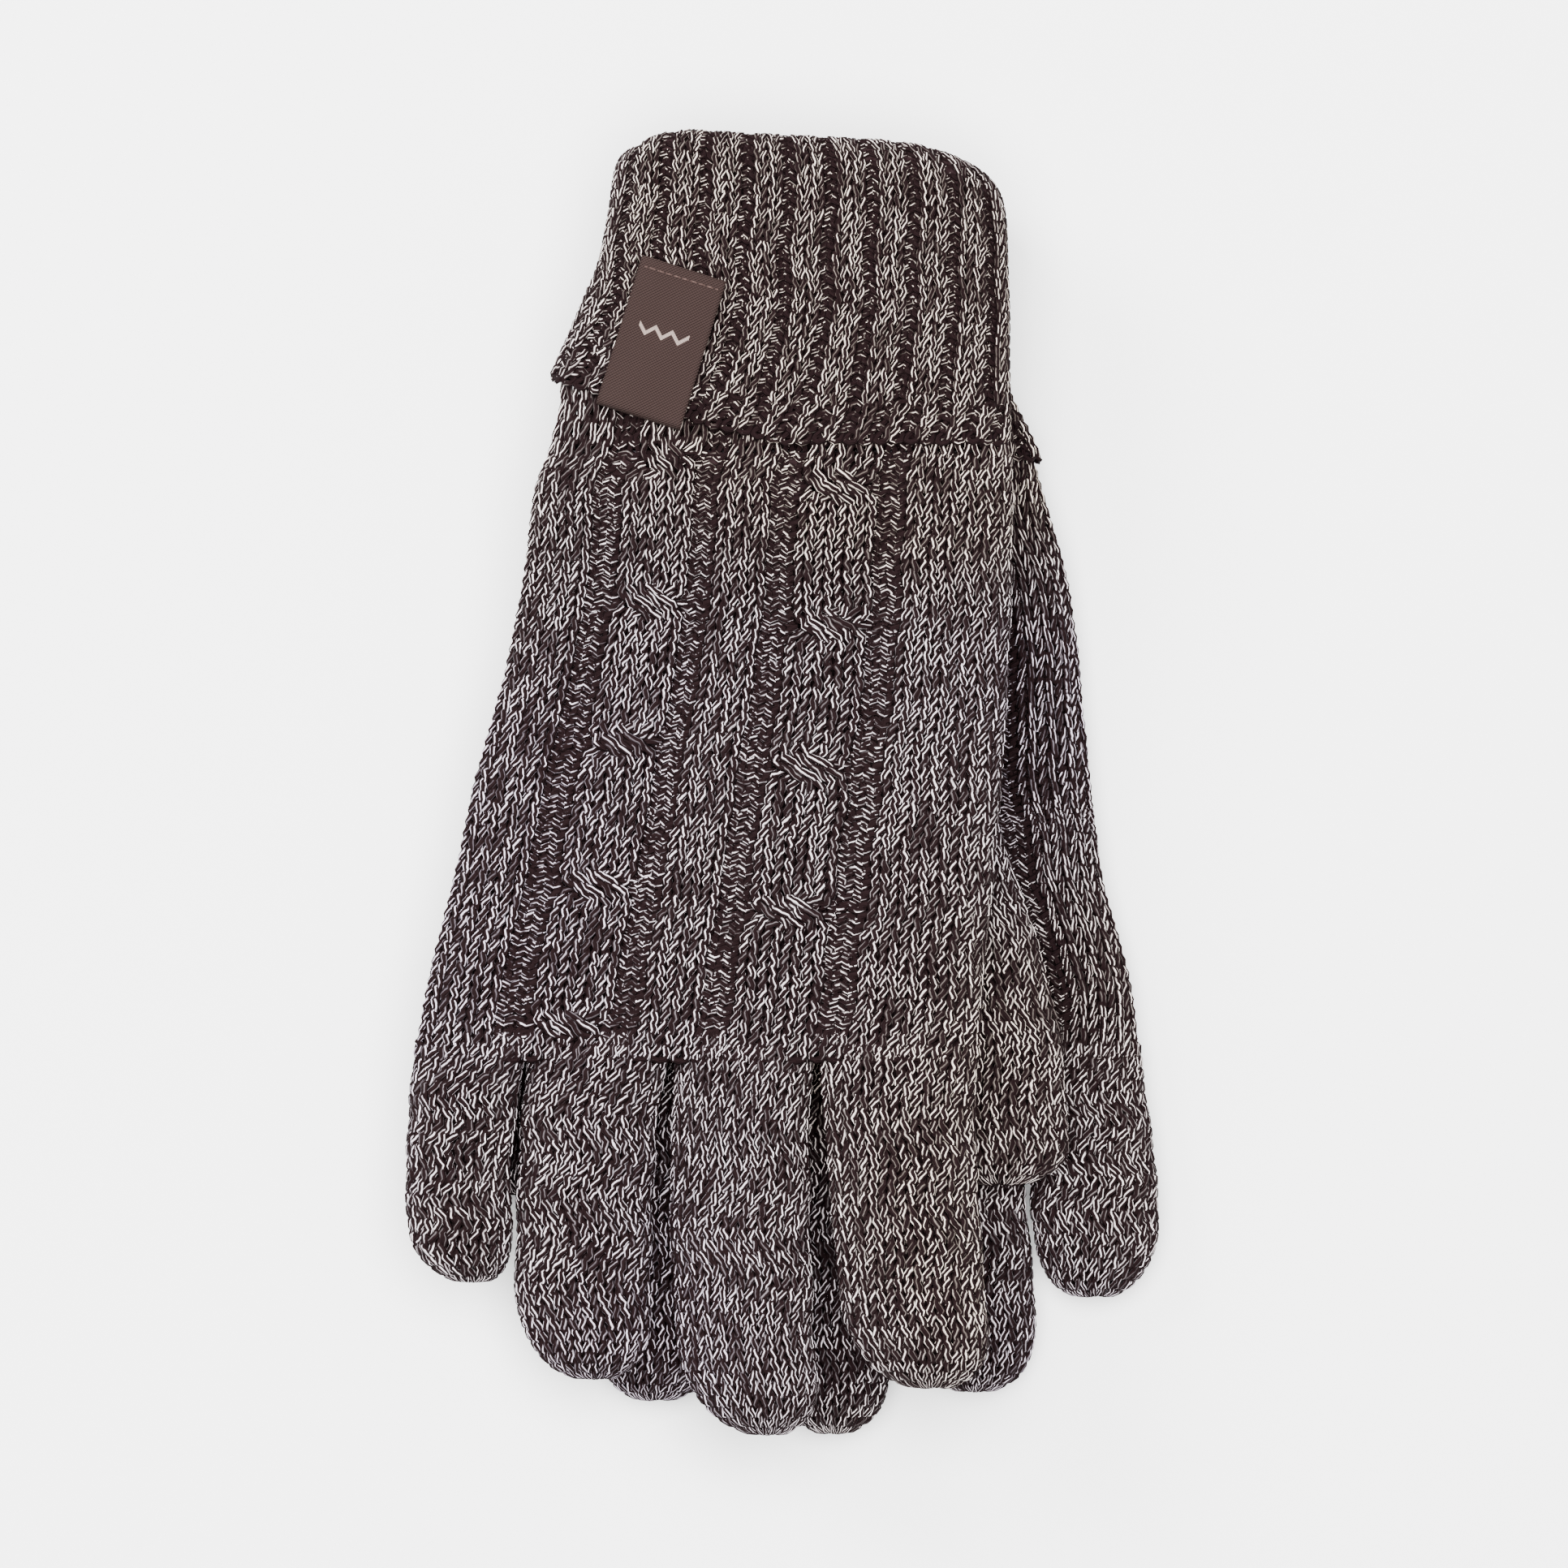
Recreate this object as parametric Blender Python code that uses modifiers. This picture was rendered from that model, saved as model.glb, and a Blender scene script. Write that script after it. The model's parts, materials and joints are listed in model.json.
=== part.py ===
"""A pair of lined cable-knit gloves with turned-back ribbed cuffs, lying one on the other.

The left glove rests on the table, back of the hand up. The right glove lies on top of it.
+Y points to the cuffs, +X to the right, +Z up. Every knitted section is a stack of oval
rings across the hand's length, made a fabric shell by Solidify, with a brushed lining of
the same kind inside it. Lengths are given in millimetres here and turned into metres by MM.
"""

import math

import bmesh
import bpy
import numpy as np
from mathutils import Matrix, Vector

MM = 0.001

# Fabric
SHELL_WALL = 2.0  # the outer knit
LINING_WALL = 1.0  # the brushed lining
GAP = 0.3  # clearance between pieces that touch
LINING_GAP = 0.5  # between the knit and the lining
LINING_NARROWER = 1.8  # the lining stops short of the hand's folded edges
FLAP_AIR = 1.2  # between the cuff's two layers, where the label's hidden leaf lies

# Section shapes, as superellipse exponents: 2 is an ellipse, more is boxier
HAND_SQUARENESS = 2.8
FINGER_SQUARENESS = 2.4
TIP_SQUARENESS = 2.3

# Points round a section, and rings along a finger
HAND_POINTS = 26
FINGER_POINTS = 12
BODY_RINGS = 4
TIP_RINGS = 3

# Places along the hand
HAND_TOP = 61.5  # where the hand's knitting meets the cuff
KNUCKLES = -49.5  # where the hand divides into fingers
THUMB_FORK = -5.5  # where the left glove's thumb leaves the widened side of the hand
SHOULDER = 1.2  # how much length the hand takes to step in past that thumb
FOLD_CORNER = 9.0  # how far the cuff's fold drops at its two corners
FOLD_CORNER_POWER = 6
CUFF_FLATTER = 1.2  # how much less the cuff's standing layer bulges than the hand
CUFF_SHARES = (0.0, 0.3, 0.6, 0.85, 0.95)  # rings up the cuff, before its fold

# Where the cloth eases from one level to the next
DRAPE_ACROSS = (-32, 20)  # x, lifted to the right by the tucked thumb
DRAPE_ALONG = (-8, 42)  # y, lifted towards the fingers
HAND_LEVELS = (22, 58)  # y, from the hand's resting height to the cuff's

LABEL_WIDTH = 16.2
LABEL_LENGTH = 26.5
LABEL_TUCK = 9.0  # the hidden leaf, behind the cuff's edge
LABEL_THICKNESS = 0.4
LABEL_CLEAR = 0.65  # above the cuff's faceted surface
LABEL_ANGLE = math.radians(-18)
LABEL_TOP_CENTRE = (-18.3, 95.0)
THREAD_RADIUS = 0.25
THREAD_FROM_TOP = 1.8

# Each glove: sections as (y, left edge x, right edge x) and fingers as (y, centre x, half width)
RIGHT = {
    "name": "right",
    "floor": None,
    "hand_height": 7.3,
    "finger_height": 7.0,
    "thumb_height": 4.6,
    "rest_z": 13.3,
    "cuff_z": 27.0,
    "lift": 10.2,
    "hand": (
        (HAND_TOP, -43.6, 42.0),
        (55, -46.3, 42.4),
        (37, -48.6, 42.2),
        (19, -52.3, 41.6),
        (1, -57.6, 40.3),
        (-17, -61.3, 38.8),
        (-35, -66.0, 37.0),
        (KNUCKLES + GAP, -68.6, 36.2),
    ),
    "cuff": ((115, -31.6, 40.8), (100, -33.2, 41.6), (77.5, -39.6, 41.8), (64, -43.0, 42.0)),
    "fold": {"y": 118.95, "slope": -0.085},
    "edge": {"y": 63.6, "rise": 0.30, "from_x": -3.0},
    "fingers": {
        "index": ((KNUCKLES, 20.8, 14.8), (-70, 21.6, 13.9), (-95, 23.4, 13.7), (-112.0, 27.5, 13.0)),
        "middle": ((KNUCKLES, -7.6, 12.8), (-70, -8.3, 13.0), (-103, -7.6, 13.0), (-120.8, -3.0, 12.4)),
        "ring": ((KNUCKLES, -34.3, 12.9), (-70, -37.0, 12.6), (-97, -37.2, 12.6), (-110.7, -34.8, 12.0)),
        "little": ((KNUCKLES, -58.4, 10.3), (-70, -60.2, 9.7), (-84, -60.0, 9.8), (-92.7, -57.4, 9.0)),
    },
    "thumb": ((-4, 27.0, 11.5), (-29, 34.4, 13.1), (-42, 37.6, 13.5), (-74.9, 40.4, 13.9)),
    "thumb_hole": {"centre": (26, 3, 22), "radii": (8, 6), "depth": 12, "tilt": 0.0},
}
LEFT = {
    "name": "left",
    "floor": 0.0,
    "hand_height": 6.6,
    "finger_height": 6.4,
    "thumb_height": 5.8,
    "rest_z": -0.4,
    "cuff_z": 8.5,
    "lift": 0.0,
    "hand": (
        (HAND_TOP - 2.7, -37.5, 46.6),
        (52, -38.0, 49.2),
        (41, -38.0, 52.3),
        (28, -39.0, 54.5),
        (12, -46.0, 56.1),
        (2, -50.6, 57.2),
        (THUMB_FORK, -53.6, 58.0),
        (THUMB_FORK - SHOULDER, -36.6, 58.1),
        (-20, -36.2, 60.0),
        (-35, -35.6, 64.3),
        (KNUCKLES + GAP, -35.0, 66.4),
    ),
    "cuff": ((112, -30.6, 38.8), (100, -31.4, 40.4), (77.5, -36.0, 41.2), (61, -37.8, 48.0)),
    "fold": {"y": 115.4, "slope": -0.085},
    "edge": {"y": 61.2, "rise": 0.0, "from_x": 0.0},
    "fingers": {
        "index": ((KNUCKLES, -20.8, 13.9), (-70, -20.6, 13.2), (-98, -21.0, 13.2), (-115.2, -24.0, 12.0)),
        "middle": ((KNUCKLES, 6.4, 12.4), (-70, 7.2, 11.9), (-104, 8.0, 11.8), (-121.4, 9.4, 11.2)),
        "ring": ((KNUCKLES, 31.6, 12.2), (-75, 33.0, 11.5), (-93, 35.2, 11.7), (-113.6, 35.6, 11.9)),
        "little": ((KNUCKLES, 55.2, 10.9), (-70, 57.2, 12.0), (-81, 58.1, 12.0), (-95.9, 57.6, 10.6)),
    },
    "thumb": ((-7.2, -45.2, 8.0), (-24, -47.6, 10.4), (-50, -47.8, 12.2), (-77, -47.4, 12.0)),
    "thumb_hole": {"centre": (-44.6, -6, 6), "radii": (5.2, 3.4), "depth": 14, "tilt": 0.5 * math.pi},
}

TIP_LENGTH = {"index": 15, "middle": 16, "ring": 15, "little": 13, "thumb": 11}
FINGER_NAMES = ("index", "middle", "ring", "little")

KNIT_COLOUR = (0.20, 0.165, 0.175)
LINING_COLOUR = (0.055, 0.045, 0.05)
LABEL_COLOUR = (0.075, 0.05, 0.045)
THREAD_COLOUR = (0.045, 0.03, 0.03)


def smooth_step(low, high, value):
    """0 before low, 1 past high, easing between them."""
    t = min(max((value - low) / (high - low), 0.0), 1.0)
    return t * t * (3 - 2 * t)


def clear_scene():
    for obj in list(bpy.data.objects):
        bpy.data.objects.remove(obj, do_unlink=True)


def material(name, colour, roughness):
    made = bpy.data.materials.new(name)
    made.use_nodes = True
    shader = made.node_tree.nodes["Principled BSDF"]
    shader.inputs["Base Color"].default_value = (*colour, 1)
    shader.inputs["Roughness"].default_value = roughness
    shader.inputs["Metallic"].default_value = 0.0
    return made


def between(stations, y, column):
    """The value in a column of the stations at y, which fall from the cuff to the tips."""
    ys = [station[0] for station in reversed(stations)]
    values = [station[column] for station in reversed(stations)]
    return float(np.interp(y, ys, values))


def draped(glove, x, y):
    """How far the thumb tucked under the index side lifts the hand and fingers there."""
    across = smooth_step(*DRAPE_ACROSS, x)
    along = 1 - smooth_step(*DRAPE_ALONG, y)
    return glove["lift"] * across * along


def oval(centre_x, centre_z, half_width, half_height, squareness, count):
    """Points of a superellipse in the XZ plane, anticlockwise seen from -Y."""
    points = []
    for i in range(count):
        angle = 2 * math.pi * (i + 0.5) / count
        across, up = math.cos(angle), math.sin(angle)
        x = half_width * math.copysign(abs(across) ** (2 / squareness), across)
        z = half_height * math.copysign(abs(up) ** (2 / squareness), up)
        points.append((centre_x + x, centre_z + z))
    return points


def settle(glove, x, y, z, inset, tucked=False):
    """A section's point after it is draped, with the underside flattened by the table."""
    if not tucked:
        z += draped(glove, x, y)
    if glove["floor"] is not None:
        z = max(z, glove["floor"] + inset)
    return (x * MM, y * MM, z * MM)


def loft(name, rings, tip, wall, collection, look):
    """A shell over a stack of rings, open at its ends or closed by a tip point."""
    mesh = bmesh.new()
    loops = [[mesh.verts.new(point) for point in ring] for ring in rings]
    for upper, lower in zip(loops, loops[1:]):
        for i in range(len(upper)):
            j = (i + 1) % len(upper)
            mesh.faces.new((upper[i], upper[j], lower[j], lower[i]))
    if tip is not None:
        point = mesh.verts.new(tip)
        last = loops[-1]
        for i in range(len(last)):
            mesh.faces.new((last[i], last[(i + 1) % len(last)], point))
    bmesh.ops.recalc_face_normals(mesh, faces=mesh.faces)
    data = bpy.data.meshes.new(name)
    mesh.to_mesh(data)
    mesh.free()
    data.materials.append(look)
    data.shade_smooth()
    obj = bpy.data.objects.new(name, data)
    collection.objects.link(obj)
    shell = obj.modifiers.new("fabric", "SOLIDIFY")
    shell.thickness = wall * MM
    shell.offset = -1
    return obj


def hand_height_at(glove, y):
    """Height of the hand's middle: level with the cuff at the top, resting lower down."""
    resting = glove["rest_z"] + glove["hand_height"]
    return resting + (glove["cuff_z"] - resting) * smooth_step(*HAND_LEVELS, y)


def hand_shell(glove, inset, wall, name, collection, look):
    narrower = LINING_NARROWER if inset else 0.0
    rings = []
    for y, left_edge, right_edge in glove["hand"]:
        left = left_edge + inset + narrower
        right = right_edge - inset - narrower
        if abs(y - THUMB_FORK) < 2 * SHOULDER:
            y += 1.2 * inset
        section = oval(
            (left + right) / 2,
            hand_height_at(glove, y),
            (right - left) / 2,
            glove["hand_height"] - inset,
            HAND_SQUARENESS,
            HAND_POINTS,
        )
        rings.append([settle(glove, x, y, z, inset) for x, z in section])
    return loft(name, rings, None, wall, collection, look)


def finger_rings(glove, finger, inset):
    """Rings from a finger's root to just before its tip, and the tip point itself."""
    tucked = finger == "thumb"
    stations = glove["thumb"] if tucked else glove["fingers"][finger]
    height = glove["thumb_height"] if tucked else glove["finger_height"]
    root, tip = stations[0][0], stations[-1][0] + inset
    tip_start = tip + TIP_LENGTH[finger] - inset
    ys = list(np.linspace(root, tip_start, BODY_RINGS))
    for k in range(1, TIP_RINGS + 1):
        ys.append(tip_start + (tip - tip_start) * math.sin(0.5 * math.pi * k / (TIP_RINGS + 0.55)))
    middle_z = glove["rest_z"] + height
    rings = []
    for y in ys:
        short = max((tip_start - y) / (tip_start - tip), 0.0)
        roundness = (1 - short**TIP_SQUARENESS) ** (1 / TIP_SQUARENESS)
        section = oval(
            between(stations, y, 1),
            middle_z,
            (between(stations, y, 2) - inset) * roundness,
            (height - inset) * roundness,
            FINGER_SQUARENESS,
            FINGER_POINTS,
        )
        rings.append([settle(glove, x, y, z, inset, tucked) for x, z in section])
    tip_point = settle(glove, between(stations, tip, 1), tip, middle_z, inset, tucked)
    return rings, tip_point


def joint_point(glove, finger):
    """Where the finger turns: the top of its root, or its root's outer corner when it fans out flat."""
    stations = glove["thumb"] if finger == "thumb" else glove["fingers"][finger]
    root_y, centre_x, half_width = stations[0]
    if finger == "thumb" and glove["lift"]:
        return (centre_x, root_y, glove["rest_z"] + glove["thumb_height"])
    if glove["lift"]:
        highest = max(draped(glove, centre_x + half_width, root_y), draped(glove, centre_x, root_y))
        return (centre_x, root_y, glove["rest_z"] + 2 * glove["finger_height"] + highest)
    outwards = 1 if finger in ("ring", "little") else -1
    return (centre_x + outwards * half_width, root_y, glove["finger_height"])


def turn_about(obj, point):
    """Moves the object's origin to the point it turns about, leaving its shape in place."""
    origin = Vector(point) * MM
    obj.data.transform(Matrix.Translation(-origin))
    obj.location = origin


def cuff_edge_y(glove, x):
    """The cast-on edge, which climbs towards the little-finger side of the upper glove."""
    edge = glove["edge"]
    return edge["y"] + edge["rise"] * max(edge["from_x"] - x, 0.0)


def cuff_fold_y(glove, x):
    """The fold, which slopes a little and drops at its two corners."""
    left, right = glove["cuff"][0][1], glove["cuff"][0][2]
    middle, half = (left + right) / 2, (right - left) / 2
    corner = min(abs((x - middle) / half), 1.0) ** FOLD_CORNER_POWER
    return glove["fold"]["y"] + glove["fold"]["slope"] * (x - middle) - FOLD_CORNER * corner


def cuff_ring(glove, share, out, bottom):
    """One ring of the cuff's middle surface. share runs from its lower end, 0, to its fold, 1."""
    mean_y = glove["edge"]["y"] + (glove["fold"]["y"] - glove["edge"]["y"]) * share
    half_wall = SHELL_WALL / 2
    left = between(glove["cuff"], mean_y, 1) + half_wall + SHELL_WALL + FLAP_AIR - out
    right = between(glove["cuff"], mean_y, 2) - half_wall - SHELL_WALL - FLAP_AIR + out
    height = glove["hand_height"] - half_wall - CUFF_FLATTER + out
    ring = []
    for x, z in oval(
        (left + right) / 2, glove["cuff_z"], (right - left) / 2, height, HAND_SQUARENESS, HAND_POINTS
    ):
        low = bottom(x)
        y = low + (cuff_fold_y(glove, x) - low) * share
        ring.append(settle(glove, x, y, z, half_wall))
    return ring


def turned_cuff(glove, collection, look):
    """The ribbed cuff: a standing layer, the fold, and the layer turned back outside it."""
    flap_out = SHELL_WALL + FLAP_AIR
    hand_top = glove["hand"][0][0]
    rings = []
    for share in CUFF_SHARES:
        rings.append(cuff_ring(glove, share, 0.0, lambda x: hand_top + GAP))
    for turn in (45, 90, 135):
        out = flap_out * (1 - math.cos(math.radians(turn))) / 2
        share = CUFF_SHARES[-1] + (1 - CUFF_SHARES[-1]) * math.sin(math.radians(turn))
        rings.append(cuff_ring(glove, share, out, lambda x: hand_top + GAP))
    for share in reversed(CUFF_SHARES):
        rings.append(cuff_ring(glove, share, flap_out, lambda x: cuff_edge_y(glove, x)))
    obj = loft(f"{glove['name']}_cuff", rings, None, SHELL_WALL, collection, look)
    obj.modifiers["fabric"].offset = 0
    return obj


def flap_top(glove, x, y):
    """Height of the turned-back layer's upper face over a point."""
    left = between(glove["cuff"], y, 1)
    right = between(glove["cuff"], y, 2)
    height = glove["hand_height"] - CUFF_FLATTER + SHELL_WALL + FLAP_AIR
    across = min(abs((2 * x - left - right) / (right - left)), 0.999)
    return glove["cuff_z"] + height * (1 - across**HAND_SQUARENESS) ** (1 / HAND_SQUARENESS)


def label_point(glove, across, down):
    """A point of the label's front leaf, across from its middle and down from its top edge."""
    x = LABEL_TOP_CENTRE[0] + across * math.cos(LABEL_ANGLE) + down * math.sin(LABEL_ANGLE)
    y = LABEL_TOP_CENTRE[1] + across * math.sin(LABEL_ANGLE) - down * math.cos(LABEL_ANGLE)
    return x, y


def woven_label(glove, collection, look):
    """A woven tape sewn to the turned-back layer, folded round its lower edge and tucked up behind."""
    columns, rows = 5, 9
    above = LABEL_CLEAR + LABEL_THICKNESS / 2
    below = SHELL_WALL + FLAP_AIR / 2
    fold_steps = 4
    grid = []
    for column in range(columns):
        across = LABEL_WIDTH * (column / (columns - 1) - 0.5)
        line = []
        for row in range(rows):
            x, y = label_point(glove, across, LABEL_LENGTH * row / (rows - 1))
            line.append((x, y, flap_top(glove, x, y) + above))
        end_x, end_y = line[-1][0], line[-1][1]
        middle = flap_top(glove, end_x, end_y) + (above - below) / 2
        reach = (above + below) / 2
        for step in range(1, fold_steps):
            turn = math.pi * step / fold_steps
            line.append((end_x, end_y - reach * math.sin(turn) * 0.7, middle + reach * math.cos(turn)))
        for back in (0.0, 0.5, 1.0):
            x, y = end_x, end_y + LABEL_TUCK * back
            line.append((x, y, flap_top(glove, x, y) - below))
        grid.append(line)
    mesh = bmesh.new()
    verts = [[mesh.verts.new([c * MM for c in point]) for point in line] for line in grid]
    for a, b in zip(verts, verts[1:]):
        for i in range(len(a) - 1):
            mesh.faces.new((a[i], b[i], b[i + 1], a[i + 1]))
    data = bpy.data.meshes.new("woven_label")
    mesh.to_mesh(data)
    mesh.free()
    data.materials.append(look)
    obj = bpy.data.objects.new("woven_label", data)
    collection.objects.link(obj)
    tape = obj.modifiers.new("tape", "SOLIDIFY")
    tape.thickness = LABEL_THICKNESS * MM
    tape.offset = 0
    return obj


def label_thread(glove, collection, look):
    """The row of stitching that holds the label's top edge."""
    curve = bpy.data.curves.new("label_thread", "CURVE")
    curve.dimensions = "3D"
    curve.bevel_depth = THREAD_RADIUS * MM
    curve.bevel_resolution = 1
    curve.use_fill_caps = True
    spline = curve.splines.new("POLY")
    steps = 8
    spline.points.add(steps)
    lift = LABEL_CLEAR + LABEL_THICKNESS + GAP + THREAD_RADIUS
    for i in range(steps + 1):
        across = (LABEL_WIDTH - 2) * (i / steps - 0.5)
        x, y = label_point(glove, across, THREAD_FROM_TOP)
        z = flap_top(glove, x, y) + lift
        spline.points[i].co = (x * MM, y * MM, z * MM, 1)
    curve.materials.append(look)
    obj = bpy.data.objects.new("label_thread", curve)
    collection.objects.link(obj)
    return obj


def cut_thumb_hole(glove, shells, cutters):
    """Opens the hand and its lining where the thumb joins them."""
    hole = glove["thumb_hole"]
    bpy.ops.mesh.primitive_cylinder_add(
        vertices=16, radius=1.0, depth=1.0, location=[c * MM for c in hole["centre"]]
    )
    cutter = bpy.context.active_object
    cutter.name = f"{glove['name']}_thumb_hole_cutter"
    cutter.scale = (hole["radii"][0] * MM, hole["radii"][1] * MM, hole["depth"] * MM)
    cutter.rotation_euler = (hole["tilt"], 0.0, 0.0)
    cutter.display_type = "WIRE"
    cutter.hide_render = True
    for owner in list(cutter.users_collection):
        owner.objects.unlink(cutter)
    cutters.objects.link(cutter)
    for shell in shells:
        cut = shell.modifiers.new("thumb_hole", "BOOLEAN")
        cut.operation = "DIFFERENCE"
        cut.object = cutter


def build_glove(glove, collection, cutters, knit, fleece):
    side = glove["name"]
    inner = SHELL_WALL + LINING_GAP
    hand = hand_shell(glove, 0.0, SHELL_WALL, f"{side}_hand", collection, knit)
    lining = hand_shell(glove, inner, LINING_WALL, f"{side}_hand_lining", collection, fleece)
    cut_thumb_hole(glove, (hand, lining), cutters)
    turned_cuff(glove, collection, knit)
    for finger in (*FINGER_NAMES, "thumb"):
        name = f"{side}_{finger}" if finger == "thumb" else f"{side}_{finger}_finger"
        rings, tip = finger_rings(glove, finger, 0.0)
        shell = loft(name, rings, tip, SHELL_WALL, collection, knit)
        rings, tip = finger_rings(glove, finger, inner)
        lining = loft(f"{name}_lining", rings, tip, LINING_WALL, collection, fleece)
        for tube in (shell, lining):
            turn_about(tube, joint_point(glove, finger))


def main():
    clear_scene()
    collection = bpy.data.collections.new("knit_gloves")
    bpy.context.scene.collection.children.link(collection)
    knit = material("marled_knit", KNIT_COLOUR, 0.9)
    fleece = material("brushed_lining", LINING_COLOUR, 0.95)
    cutters = bpy.data.collections.new("cutters")
    bpy.context.scene.collection.children.link(cutters)
    build_glove(LEFT, collection, cutters, knit, fleece)
    build_glove(RIGHT, collection, cutters, knit, fleece)
    woven_label(RIGHT, collection, material("label_tape", LABEL_COLOUR, 0.7))
    label_thread(RIGHT, collection, material("sewing_thread", THREAD_COLOUR, 0.6))


main()
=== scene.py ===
"""The looks of a pair of marled cable-knit gloves, laid one on the other.

Every knitted piece is real yarn: each row of knitting is a tube that runs through its loops, laid
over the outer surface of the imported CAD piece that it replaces. Behind the yarn lies that CAD piece
again, made a little thinner, as dark cloth. Lengths here are in metres.
"""

import json
import math

import bmesh
import bpy
import numpy as np
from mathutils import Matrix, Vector
from mathutils.bvhtree import BVHTree

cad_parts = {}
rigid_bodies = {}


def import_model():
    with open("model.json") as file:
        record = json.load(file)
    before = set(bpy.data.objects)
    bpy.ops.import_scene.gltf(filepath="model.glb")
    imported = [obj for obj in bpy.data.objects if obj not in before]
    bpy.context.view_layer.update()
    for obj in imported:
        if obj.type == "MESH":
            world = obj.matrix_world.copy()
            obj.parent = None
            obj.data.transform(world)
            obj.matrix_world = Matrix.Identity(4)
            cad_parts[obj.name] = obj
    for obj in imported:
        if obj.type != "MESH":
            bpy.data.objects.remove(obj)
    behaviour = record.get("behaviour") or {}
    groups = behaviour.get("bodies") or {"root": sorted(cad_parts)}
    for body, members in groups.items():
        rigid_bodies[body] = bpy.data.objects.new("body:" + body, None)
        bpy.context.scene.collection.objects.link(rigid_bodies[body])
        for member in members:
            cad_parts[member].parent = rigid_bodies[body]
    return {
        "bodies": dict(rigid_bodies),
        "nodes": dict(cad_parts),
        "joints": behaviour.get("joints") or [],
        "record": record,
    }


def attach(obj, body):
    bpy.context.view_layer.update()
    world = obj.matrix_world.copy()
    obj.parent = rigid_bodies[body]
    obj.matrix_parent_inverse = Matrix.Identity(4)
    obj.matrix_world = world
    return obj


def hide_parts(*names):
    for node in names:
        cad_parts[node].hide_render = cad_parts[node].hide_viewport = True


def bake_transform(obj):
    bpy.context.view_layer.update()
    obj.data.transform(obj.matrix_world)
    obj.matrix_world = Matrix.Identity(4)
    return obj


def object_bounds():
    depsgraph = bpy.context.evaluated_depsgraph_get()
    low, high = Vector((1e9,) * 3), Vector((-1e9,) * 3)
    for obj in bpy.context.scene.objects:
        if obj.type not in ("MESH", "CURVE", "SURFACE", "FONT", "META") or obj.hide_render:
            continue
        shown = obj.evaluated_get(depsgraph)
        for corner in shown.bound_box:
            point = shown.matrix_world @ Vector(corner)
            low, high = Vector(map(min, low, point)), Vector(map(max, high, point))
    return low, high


MM = 0.001
FINGERS = ("index", "middle", "ring", "little")

# The yarn and its gauge
WALE = 3.4 * MM  # width of a column of stitches
COURSE = 2.2 * MM  # height of a row
YARN_RADIUS = 0.78 * MM
THINNEST = 0.4  # share of that radius that is kept where columns are narrow
LOOP_DEPTH = 0.45 * MM  # how far its legs stand before the middle surface, and its ends behind
PURL_LOOP = -0.8  # a purl loop's depth against a knit loop's: its ends stand in front
LOOP_HEIGHT = 1.62  # in rows
LOOP_OPENING = 0.24  # in wales: how far a loop's legs lean
LOOP_REACH = 0.5 * LOOP_HEIGHT - 0.5  # rows that a loop reaches into the next row
CHANGE_SHARE = 0.25  # of a wale, over which a loop flattens beside one of the other kind
PLIES = 8
PALE_PLIES = ((0.08, 0.14), (0.34, 0.39), (0.57, 0.635), (0.82, 0.865))  # shares of a turn
TWIST_LENGTH = 26 * MM  # of yarn, for one turn of its plies
TWIST_STARTS = 10  # turns, over which each row's yarn starts at random

# How uneven the knitting is
ROW_SHIFT = 0.02  # wales that a row is moved sideways at random
SWAY = (0.04, 1.7, 0.9)  # sideways: wales, radians a row, radians a wale
WAVER = (0.08, 0.8, 1.3)  # up and down: rows, radians a row, radians a wale

# How finely yarn is modelled: steps along each stitch and sides around it
FINE = (10, 5)
COARSE = (8, 4)
BAKE_BORDER = 0.06  # share of a row's band of the bake map that is left empty at each side

# Where the yarn lies against the CAD surface
SKIN_DEPTH_ABOVE = 0.25 * MM  # of the yarn's middle surface, below the CAD surface
SKIN_DEPTH_BELOW = 0.9 * MM  # deeper on undersides, which rest on something
CORE_DEPTH = 1.3 * MM  # of the cloth behind the yarn, below the CAD surface
LINING_DEPTH = 0.5 * MM  # how much thinner the cloth is made on its inner side
INNER_PROBE = 0.3 * MM  # in front of a surface, where a ray starts that tells if it faces inwards
WELD_DIGITS = 6  # decimal places of a metre, to join the CAD mesh's points

# How the CAD surfaces are read
END_INSET = 0.1 * MM  # least distance of a section from the piece's ends
RAY_START = 10 * MM  # outside the piece
END_PASSES = 6  # to find where a curved row meets the sides
CONTOUR_STEPS = 56
CAVITY_STEPS = 40
PROFILE_POINTS = 80
GRID_ROWS = 44
SMOOTHING_PASSES = 12
SMOOTHING_WEIGHTS = (0.33, -0.34)  # in, and a little further out, so that nothing shrinks

# What a column of stitches is
KNIT, PURL = 0, 1
PURL_DEPTH = 1.15 * MM
PURL_PAINTED_UNSHADED = 0.78  # how much of a purl bump's pale plies is left out of painted shade, against a knit stitch's
PLAIN_ROWS = 2  # at the hand's lower end, below the pattern
PATTERN_FADE = 7  # rows over which the pattern flattens above them

# Cables of two strands, each two columns wide
CABLE_COLUMNS = 4
CABLE_ROWS = 12.3  # rows from one crossing to the next
CROSSING_SHARE = 0.26  # of that, spent crossing
CROSSING_SPREAD = 0.45  # how much wider a strand is, half-way across
CROSSING_PINCH = 0.5  # how far the columns beside the cable follow it in, in wales
CABLE_LIFT = 1.1 * MM  # of the strand that passes over
CABLE_DROP = 0.7  # of the strand that passes under, as a share of that
CABLE_BULGE = 0.5 * MM

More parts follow.
